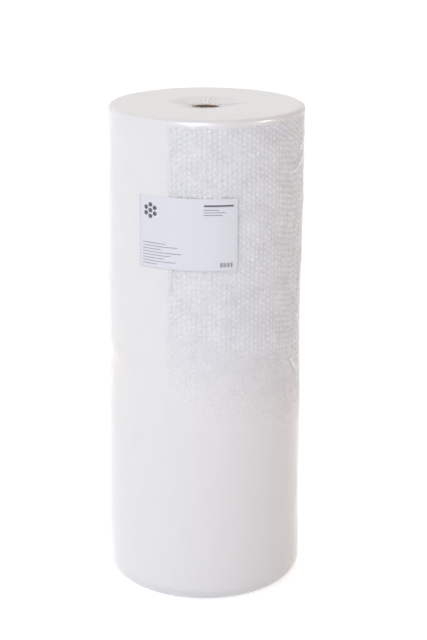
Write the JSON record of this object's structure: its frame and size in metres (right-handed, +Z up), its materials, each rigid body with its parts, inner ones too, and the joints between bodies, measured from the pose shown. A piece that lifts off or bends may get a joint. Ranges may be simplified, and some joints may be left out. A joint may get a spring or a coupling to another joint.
{
  "type": "bubble wrap roll",
  "caption": "Roll of clear bubble wrap wound on a cardboard tube, standing on end in shrink film with a paper label.",
  "frame": {"origin": "centre of the foot, on the surface that the roll stands on", "axes": "+Z up along the axis of the core, -Y towards the front, where the label is"},
  "size_m": [0.3977, 0.3978, 1.0022],
  "materials": {
    "bubble_web": "translucent film, glossy bubbles",
    "core_board": "spiral wound board, uncoated",
    "clear_film": "clear shrink film, glossy",
    "label_paper": "smooth white paper with grey print"
  },
  "bodies": {
    "root": {"bubble_roll": "bubble_web", "core_tube": "core_board", "shrink_film": "clear_film", "paper_label": "label_paper"}
  },
  "joints": []
}
